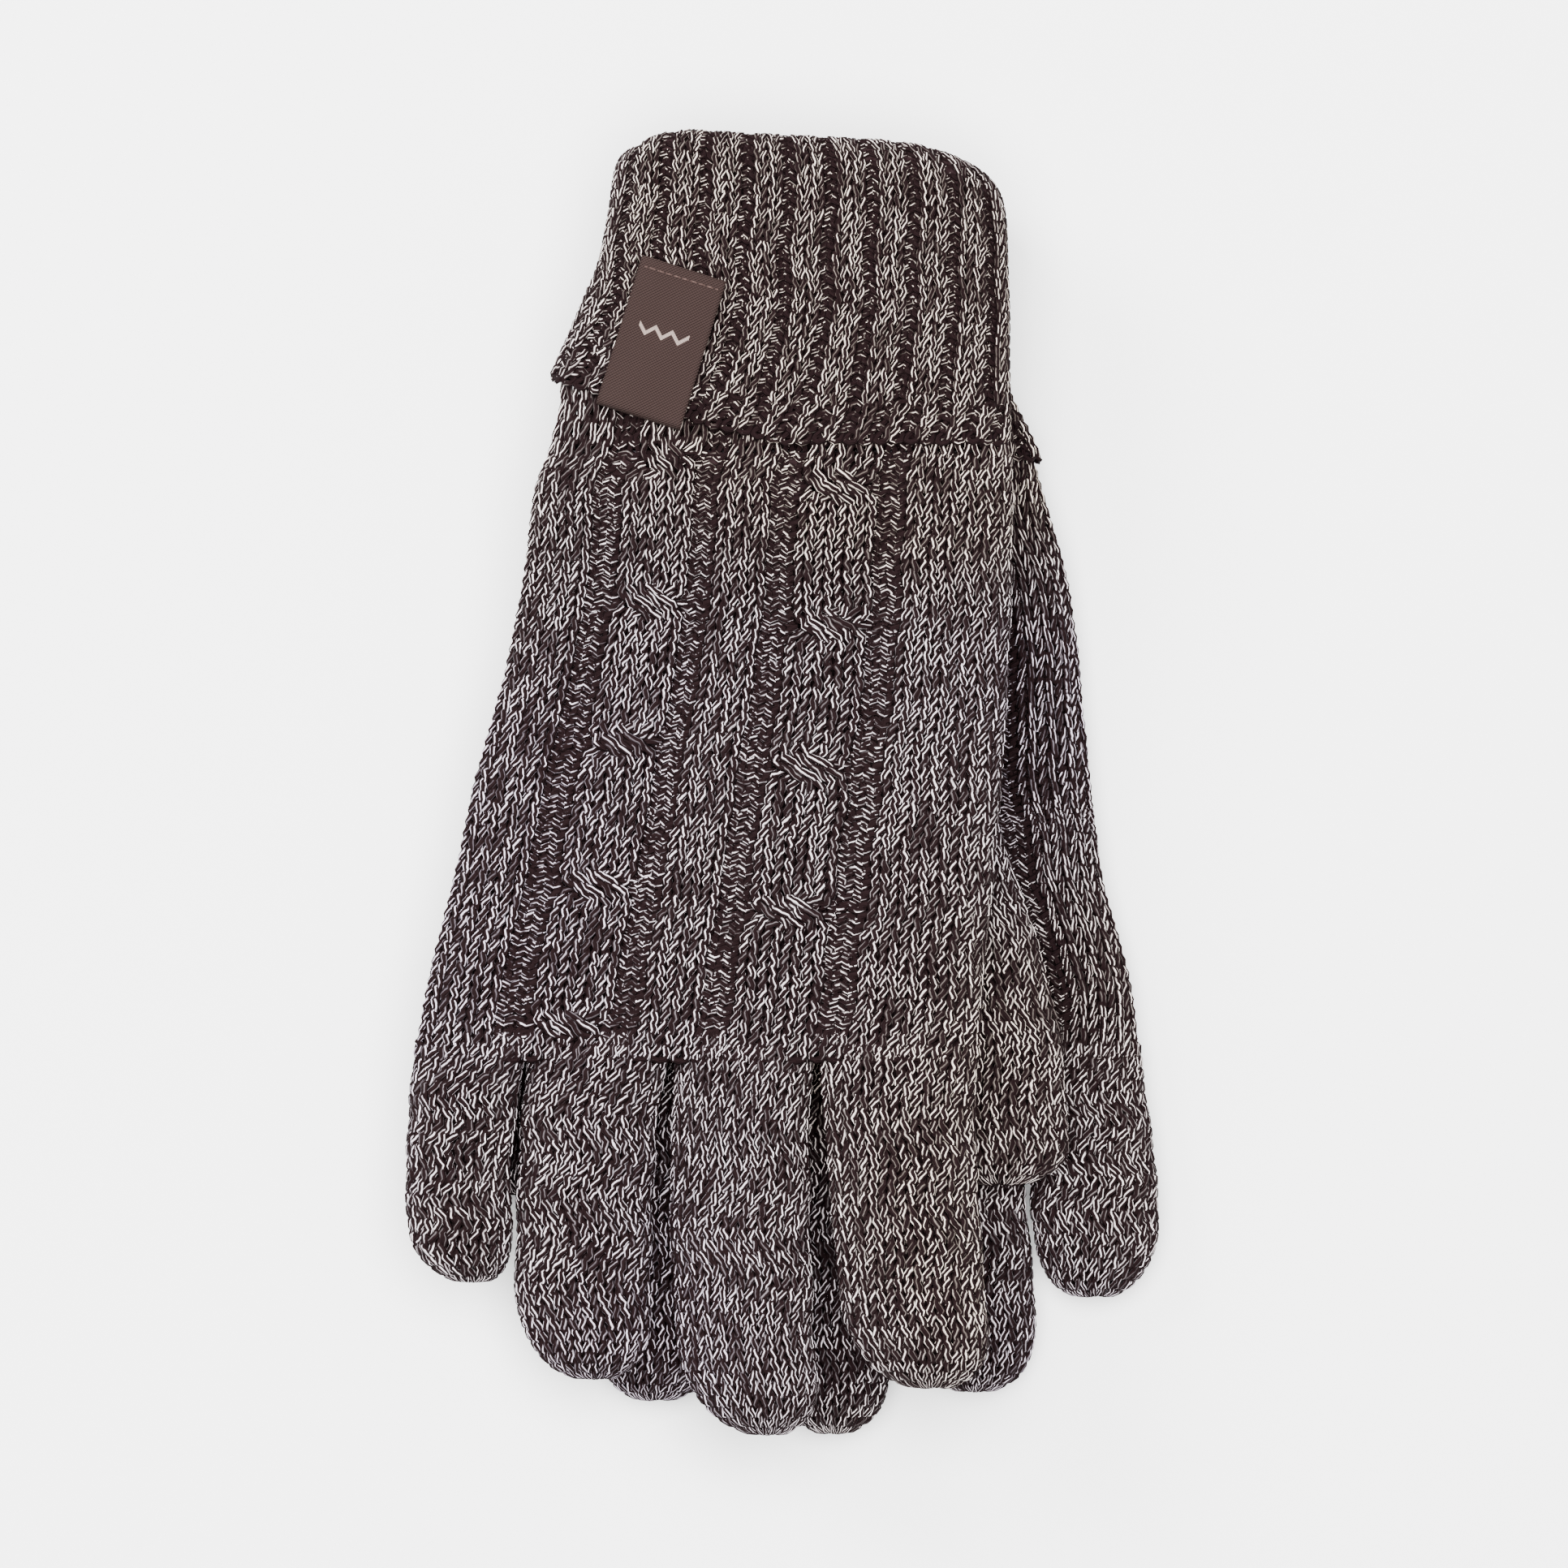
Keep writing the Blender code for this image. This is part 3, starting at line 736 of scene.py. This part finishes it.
def finger_piece(frame, side, finger, looks):
    """A finger or thumb, with cuts across the cloth behind it near its root."""
    node = f"{side}_thumb" if finger == "thumb" else f"{side}_{finger}_finger"
    skin, hand = Skin(frame, node), Skin(frame, f"{side}_hand")
    first_y, last_y = skin.high[1] - FINGER_MARGINS[0], skin.low[1] + FINGER_MARGINS[1]
    lines = even_rows(skin, first_y, last_y)
    half_round = skin.contour(lambda x: 0.5 * (first_y + last_y), True)
    girth = np.linalg.norm(np.diff(half_round, axis=0), axis=1).sum()
    columns = round(girth / WALE)
    rows = round((first_y - last_y) * FINGER_FULLNESS / COURSE)
    fine = side == "right" or finger != "thumb"
    ends = (-ROOT_OVERLAP, LOOP_REACH)
    halves = []
    for from_above, depth in ((True, SKIN_DEPTH_ABOVE), (False, SKIN_DEPTH_BELOW)):
        grid = grid_over(skin, lines, columns, from_above)
        if finger != "thumb":
            grid = met(grid, hand, from_above)
        detail = FINE if from_above and fine else COARSE
        halves.append(yarn_rows(
            grid, from_above, plain(columns), rows, detail, depth, 0, seed=len(node), ends=ends
        ))
    bend_ys = skin.high[1] - KNUCKLE_BEND * np.linspace(0, BEND_CUT_REACH, BEND_CUTS + 1)[1:]
    piece = knitted(f"{node}_knit", halves, skin, looks, bend_ys)
    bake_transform(piece)
    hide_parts(node)


def folded_grid(skin, lines, columns, from_above, fold):
    """Evenly spaced rows of points up the outside of the cuff, over its fold and down inside."""
    shares = np.linspace(0, 1, 2 * columns + 1)
    outside = grid_over(skin, lines, columns, from_above)
    inside = []
    for depth in np.linspace(MOUTH_LIP, MOUTH_DEPTH, MOUTH_LINES):
        contour = skin.cavity_contour(lambda x, depth=depth: fold(x) - depth, from_above)
        inside.append(along(contour, shares))
    rows = np.concatenate([outside, smoothed(np.array(inside))])
    steps = np.linspace(0, 1, len(rows))
    return smoothed(np.stack([along(rows[:, k], steps) for k in range(rows.shape[1])], axis=1))


def flap_edges(skin):
    """The turned-back layer's cast-on edge and fold, as functions of x, felt for with rays."""
    left, right = skin.extremes(skin.high[1] - CORNER_DROP)
    edge_xs = np.linspace(skin.low[0] + EDGE_MARGIN, skin.high[0] - EDGE_MARGIN, FEEL_EDGE)
    fold_xs = np.linspace(left[0] + FOLD_MARGIN, right[0] - FOLD_MARGIN, FEEL_FOLD)
    ys = np.linspace(skin.low[1], skin.high[1], FEEL_STEPS)

    def heights(x):
        return np.array([skin.height(x, y, True) or skin.low[2] for y in ys])

    edge = [ys[heights(x) > heights(x).max() - FLAP_STEP].min() for x in edge_xs]
    fold = [ys[heights(x) > skin.low[2]].max() for x in fold_xs]
    return lambda x: np.interp(x, edge_xs, edge), lambda x: np.interp(x, fold_xs, fold)


def cuff_pieces(frame, side, looks):
    """The cuff's two halves: ribbing up the turned-back layer, over the fold and down inside, and
    a firmer band along the cast-on edge."""
    skin = Skin(frame, f"{side}_cuff")
    edge, fold = flap_edges(skin)

    def line(share):
        return lambda x: (
            edge(x) + BAND_HEIGHT + share * (fold(x) - edge(x) - BAND_HEIGHT - FOLD_GAP)
        )

    def band_line(share):
        return lambda x: edge(x) + BAND_GAP + share * (BAND_HEIGHT - BAND_GAP)

    lines = [line(share) for share in np.linspace(0, 1, RIB_LINES) ** RIB_LINE_POWER]
    band_lines = [band_line(share) for share in np.linspace(0, 1, BAND_LINES)]
    middle_x = 0.5 * (skin.low[0] + skin.high[0])
    outer_rows = round((fold(middle_x) - edge(middle_x) - BAND_HEIGHT) / COURSE)
    rows = outer_rows + round((RIM_HEIGHT + MOUTH_DEPTH) / COURSE)
    rib_columns = [KNIT, KNIT, PURL] * RIB_REPEATS + [KNIT] * 2
    rib_widths = [1.0 if kind == KNIT else RIB_PURL_WIDTH for kind in rib_columns]
    rib = Pattern(rib_columns, widths=rib_widths)
    band = Pattern([KNIT, PURL] * BAND_REPEATS + [KNIT])
    from_fold = np.abs(np.arange(rows)[:, None] - outer_rows - 0.5 * RIM_HEIGHT / COURSE)
    rib_depth = RIB_DEPTH * ease(from_fold / FOLD_ROWS)
    for from_above, depth in ((True, SKIN_DEPTH_ABOVE), (False, SKIN_DEPTH_BELOW)):
        detail = FINE if from_above and side == "right" else COARSE
        grid = folded_grid(skin, lines, len(rib), from_above, fold)
        ribbing = yarn_rows(grid, from_above, rib, rows, detail, depth, rib_depth, seed=5)
        grid = grid_over(skin, band_lines, len(band), from_above)
        ends = (-BAND_OVERHANG, 0)
        edging = yarn_rows(
            grid, from_above, band, BAND_ROWS, detail, depth, BAND_DEPTH, seed=6, ends=ends
        )
        name = f"{side}_cuff_{'upper' if from_above else 'lower'}"
        piece = knitted(name, [ribbing, edging], skin if from_above else None, looks)
        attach(piece, f"{side}_palm")
        if from_above:
            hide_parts(f"{side}_cuff")


# ---------------------------------------------------------------- the label


def label_pieces(frame, tape_look, thread_look):
    """The woven label on the upper cuff, folded round its edge, and the stitches along its top."""
    grid = label_grid(Skin(frame, "woven_label"))
    label = sheet_object("label_tape", grid, tape_look)
    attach(label, "right_palm")
    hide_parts("woven_label")
    thread = tube_object("label_stitches", seam_path(grid), THREAD_RADIUS, thread_look)
    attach(thread, "right_palm")
    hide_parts("label_thread")


def label_grid(skin):
    """Points of the tape: for each step across it, a line down its front and round the edge."""
    points = skin.points
    top_left = points[points[:, 1].argmax()]
    top_right = points[points[:, 0].argmax()]
    bottom_left = points[points[:, 0].argmin()]
    across, down = top_right - top_left, bottom_left - top_left
    middle = 0.5 * (top_left + top_right + down)
    columns, rows = LABEL_STEPS
    grid = []
    for i in range(columns + 1):
        line = []
        for j in range(rows + 1):
            x, y, _ = top_left + across * i / columns + down * j / rows
            ripple = RIPPLE * math.sin(RIPPLE_ACROSS * i / columns + RIPPLE_DOWN * j / rows)
            inner_x, inner_y = x + LABEL_INSET * (middle[0] - x), y + LABEL_INSET * (middle[1] - y)
            z = skin.height(inner_x, inner_y, True)
            line.append((x, y, z + LABEL_LIFT + ripple))
        grid.append(line + fold_under(line[-1], down))
    return np.array(grid)


def fold_under(end, down):
    """The rest of a line of the tape: round the cuff's edge and back up behind it."""
    ahead = Vector(down).normalized()
    points = []
    for k in range(1, FOLD_STEPS + 1):
        turn = math.pi * k / FOLD_STEPS
        place = Vector(end) + ahead * FOLD_BULGE * MM * math.sin(turn)
        place.z = end[2] - LABEL_FOLD * 0.5 * (1 - math.cos(turn))
        points.append(tuple(place))
    turned = Vector(points[-1])
    for k in range(1, TUCK_STEPS + 1):
        points.append(tuple(turned - ahead * LABEL_TUCK * k / TUCK_STEPS))
    return points


def seam_path(grid):
    """The thread along the label's top, in and out of the tape."""
    columns, rows = LABEL_STEPS
    path = []
    for i in range(STITCHES * STITCH_STEPS + 1):
        share = LABEL_MARGIN + (1 - 2 * LABEL_MARGIN) * i / (STITCHES * STITCH_STEPS)
        spot = sample(grid, np.array(share * columns), np.array(SEAM_SHARE * rows))
        spot[2] += STITCH_LIFT + STITCH_SWING * math.cos(2 * math.pi * i / STITCH_STEPS)
        path.append(spot)
    return np.array(path)


def sheet_object(name, grid, look):
    """A thin sheet over a grid of points, with UVs in metres across and down it."""
    columns, rows = grid.shape[:2]
    r, c = np.meshgrid(np.arange(columns - 1), np.arange(rows - 1), indexing="ij")
    start = r * rows + c
    quads = np.stack([start, start + rows, start + rows + 1, start + 1], axis=-1).reshape(-1, 4)
    width = np.linalg.norm(grid[-1, 0] - grid[0, 0])
    steps = np.linalg.norm(np.diff(grid[0], axis=0), axis=1)
    lengths = np.concatenate([[0], np.cumsum(steps)])
    u, v = np.meshgrid(np.arange(columns) / (columns - 1) * width, lengths, indexing="ij")
    flat = np.stack([u, v], axis=-1).reshape(-1, 2)
    uvs = {"yarn": flat[quads.ravel()]}
    slots = np.zeros(len(quads), int)
    obj = mesh_object(name, grid.reshape(-1, 3), quads, np.zeros((0, 3), int), uvs, [look], slots)
    tape = obj.modifiers.new("tape", "SOLIDIFY")
    tape.thickness = TAPE_THICKNESS
    tape.offset = 0
    return obj


def tube_object(name, path, radius, look):
    """A curve with a round section."""
    curve = bpy.data.curves.new(name, "CURVE")
    curve.dimensions = "3D"
    curve.bevel_depth = radius
    curve.bevel_resolution = 2
    curve.use_fill_caps = True
    spline = curve.splines.new("POLY")
    spline.points.add(len(path) - 1)
    for point, place in zip(spline.points, path):
        point.co = (*place, 1)
    curve.materials.append(look)
    return linked(bpy.data.objects.new(name, curve))


# ---------------------------------------------------------------- materials


class Look:
    """A material, and short ways to add nodes to it, which give the new node's output."""

    def __init__(self, name, roughness):
        self.material = bpy.data.materials.new(name)
        self.material.use_nodes = True
        self.nodes = self.material.node_tree.nodes
        self.shader = self.nodes["Principled BSDF"]
        self.shader.inputs["Roughness"].default_value = roughness
        self.shader.inputs["Specular IOR Level"].default_value = SPECULAR

    def feed(self, socket, value):
        """Links a socket to another, or sets it to a number or a colour."""
        if isinstance(value, bpy.types.NodeSocket):
            self.material.node_tree.links.new(value, socket)
        elif isinstance(value, tuple):
            socket.default_value = (*value, 1)
        else:
            socket.default_value = value

    def place(self):
        return self.nodes.new("ShaderNodeTexCoord").outputs["Object"]

    def uv_parts(self, name):
        """The two coordinates of a UV map."""
        uv = self.nodes.new("ShaderNodeUVMap")
        uv.uv_map = name
        parts = self.nodes.new("ShaderNodeSeparateXYZ")
        self.feed(parts.inputs[0], uv.outputs[0])
        return parts.outputs[0], parts.outputs[1]

    def maths(self, operation, *values):
        node = self.nodes.new("ShaderNodeMath")
        node.operation = operation
        for socket, value in zip(node.inputs, values):
            self.feed(socket, value)
        return node.outputs[0]

    def noise(self, vector, scale, detail):
        node = self.nodes.new("ShaderNodeTexNoise")
        self.feed(node.inputs["Scale"], scale)
        self.feed(node.inputs["Detail"], detail)
        self.feed(node.inputs["Vector"], vector)
        return node.outputs["Fac"]

    def ramp(self, factor, stops):
        """A colour ramp. stops are (position, colour), from left to right."""
        node = self.nodes.new("ShaderNodeValToRGB")
        elements = node.color_ramp.elements
        elements[1].position, elements[0].position = stops[-1][0], stops[0][0]
        elements[0].color, elements[1].color = (*stops[0][1], 1), (*stops[-1][1], 1)
        for position, colour in stops[1:-1]:
            elements.new(position).color = (*colour, 1)
        self.feed(node.inputs[0], factor)
        return node.outputs[0]

    def mix(self, factor, first, second):
        """A mix of two colours."""
        node = self.nodes.new("ShaderNodeMix")
        node.data_type = "RGBA"
        node.clamp_factor = True
        self.feed(node.inputs["Factor"], factor)
        self.feed(node.inputs[6], first)  # its colour sockets share their names with others
        self.feed(node.inputs[7], second)
        return node.outputs[2]

    def finish(self, colour, height=None, distance=0.0, strength=1.0):
        """Gives the shader its colour and its bump, and returns the material."""
        self.feed(self.shader.inputs["Base Color"], colour)
        if height is not None:
            bump = self.nodes.new("ShaderNodeBump")
            self.feed(bump.inputs["Strength"], strength)
            self.feed(bump.inputs["Distance"], distance)
            self.feed(bump.inputs["Height"], height)
            self.feed(self.shader.inputs["Normal"], bump.outputs[0])
        return self.material


def marled_yarn():
    """Dark and pale plies twisted together, with painted shade on the pale ones where a loop dips in
    and on purl bumps.
    """
    look = Look("marled_yarn", roughness=0.85)
    along_yarn, turn = look.uv_parts("yarn")
    front, leg = look.uv_parts("leg")
    place = look.place()
    drift = look.noise(place, DRIFT_SCALE, detail=1.0)
    twist = look.maths("MULTIPLY_ADD", along_yarn, 1 / TWIST_LENGTH, turn)
    twist = look.maths("MULTIPLY_ADD", drift, TWIST_DRIFT, twist)
    twist = look.maths("ADD", twist, leg)
    share = look.maths("FRACT", twist)
    stops = [(0.0, BLACK)]
    for low, high in PALE_PLIES:
        stops += [(low - PLY_EDGE, BLACK), (low + PLY_EDGE, WHITE)]
        stops += [(high - PLY_EDGE, WHITE), (high + PLY_EDGE, BLACK)]
    is_pale = look.ramp(share, stops)
    other = look.maths("FRACT", look.maths("MULTIPLY", leg, LEG_STIR))
    covered = look.ramp(other, [(0.15, COVERED), (0.55, WHITE)])
    # Painted shade: the pale plies darken where the loop dips into the cloth
    reach = look.maths("MULTIPLY_ADD", drift, FRONT_DRIFT, look.maths("ADD", front, FRONT_SHIFT))
    painted_unshaded = look.ramp(reach, [(0.48, BLACK), (0.78, WHITE)])
    fibres = look.noise(place, FIBRE_SCALE, detail=3.0)
    frayed = look.maths("MULTIPLY_ADD", fibres, FIBRE_GAIN, FIBRE_FLOOR)
    mixed = look.maths("MULTIPLY", is_pale, painted_unshaded)
    mixed = look.maths("MULTIPLY", look.maths("MULTIPLY", mixed, covered), frayed)
    tint = look.noise(place, TINT_SCALE, detail=0.0)
    pale = look.ramp(tint, [(0.35, PALE_LILAC), (0.5, PALE), (0.65, PALE_BEIGE)])
    colour = look.mix(mixed, DARK_YARN, pale)
    ridges = look.maths("SINE", look.maths("MULTIPLY", twist, 2 * math.pi * PLIES))
    height = look.maths("MULTIPLY_ADD", fibres, FIBRE_GAIN, ridges)
    return look.finish(colour, height, distance=0.12 * MM, strength=0.6)


def soft_cloth(name, colour, paler, scale, depth):
    """A matte cloth with a fibrous surface."""
    look = Look(name, roughness=0.95)
    fibres = look.noise(look.place(), scale, detail=4.0)
    return look.finish(look.ramp(fibres, [(0.35, colour), (0.7, paler)]), fibres, distance=depth)


def woven_tape():
    """A dark twill tape with a plain zigzag woven across it."""
    look = Look("woven_tape", roughness=0.55)
    x, y = look.uv_parts("yarn")
    diagonal = look.maths("ADD", x, y)
    twill = look.maths("SINE", look.maths("MULTIPLY", diagonal, 2 * math.pi / TWILL))
    weft = look.maths("SINE", look.maths("MULTIPLY", y, 2 * math.pi / WEFT))
    height = look.maths("MULTIPLY_ADD", weft, WEFT_RELIEF, twill)
    zigzag = look.maths("PINGPONG", x, ZIGZAG / 2)
    below = look.maths("SUBTRACT", look.maths("SUBTRACT", y, zigzag), MOTIF_DOWN)
    on_line = look.maths("LESS_THAN", look.maths("ABSOLUTE", below), MOTIF_LINE)
    from_middle = look.maths("ABSOLUTE", look.maths("SUBTRACT", x, MOTIF_MIDDLE))
    motif = look.maths("MULTIPLY", on_line, look.maths("LESS_THAN", from_middle, MOTIF_HALF))
    # Painted shade: the tape is darker in the twill's grooves, where its relief is low
    shade = look.maths("MULTIPLY_ADD", height, WEAVE_PAINTED_SHADE, 0.5)
    ground = look.ramp(shade, [(0.2, TAPE_PAINTED_SHADE), (0.8, TAPE)])
    return look.finish(look.mix(motif, ground, TAPE_MOTIF), height, distance=0.08 * MM)


# ---------------------------------------------------------------- the stage


def add_floor():
    bpy.ops.mesh.primitive_plane_add(size=FLOOR_SIZE, location=(0, 0, -FLOOR_DROP))
    floor = bpy.context.active_object
    floor.name = "floor"
    floor.data.materials.append(Look("floor", roughness=0.9).finish(FLOOR))


def add_light(name, place, size, power):
    """An area light that faces the gloves."""
    data = bpy.data.lights.new(name, "AREA")
    data.shape = "DISK"
    data.size = size
    data.energy = power
    lamp = linked(bpy.data.objects.new(name, data))
    lamp.location = place
    lamp.rotation_euler = (-Vector(place)).to_track_quat("-Z", "Y").to_euler()


def add_world():
    """Even white light from all round."""
    world = bpy.data.worlds.new("studio")
    world.use_nodes = True
    sky = world.node_tree.nodes["Background"]
    sky.inputs["Color"].default_value = (1, 1, 1, 1)
    sky.inputs["Strength"].default_value = WORLD_STRENGTH
    bpy.context.scene.world = world


def add_camera(level):
    """Straight down from far off, so that the view is nearly flat."""
    data = bpy.data.cameras.new("camera")
    data.sensor_width = SENSOR_WIDTH
    data.lens = SENSOR_WIDTH * (CAMERA_HEIGHT - level) / FRAME_WIDTH
    data.clip_end = CAMERA_REACH
    camera = linked(bpy.data.objects.new("camera", data))
    camera.location = (0, 0, CAMERA_HEIGHT)
    bpy.context.scene.camera = camera


def build():
    """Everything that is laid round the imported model, and the stage."""
    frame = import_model()
    low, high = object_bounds()
    inside = soft_cloth("cloth_inside", CORE, INSIDE_PALE, scale=700, depth=0.5 * MM)
    core = soft_cloth("cloth_core", CORE, CORE_PALE, scale=1200, depth=0.3 * MM)
    looks = [marled_yarn(), core, inside]
    for side in ("left", "right"):
        hand_pieces(frame, side, looks)
        cuff_pieces(frame, side, looks)
        for finger in (*FINGERS, "thumb"):
            finger_piece(frame, side, finger, looks)
    thread = soft_cloth("sewing_thread", THREAD, THREAD_PALE, scale=3000, depth=0.05 * MM)
    label_pieces(frame, woven_tape(), thread)
    fleece = soft_cloth("fleece", LINING, LINING_PALE, scale=900, depth=0.4 * MM)
    for name, node in frame["nodes"].items():
        if name.endswith("lining"):
            node.data.materials.clear()
            node.data.materials.append(fleece)
    add_floor()
    add_light("overhead", place=(0.0, 0.1, 1.6), size=1.4, power=KEY_POWER)
    add_light("upper_left", place=(-1.2, 1.0, 1.1), size=0.8, power=SIDE_POWER)
    add_world()
    add_camera(FRAME_LEVEL * high.z)


build()
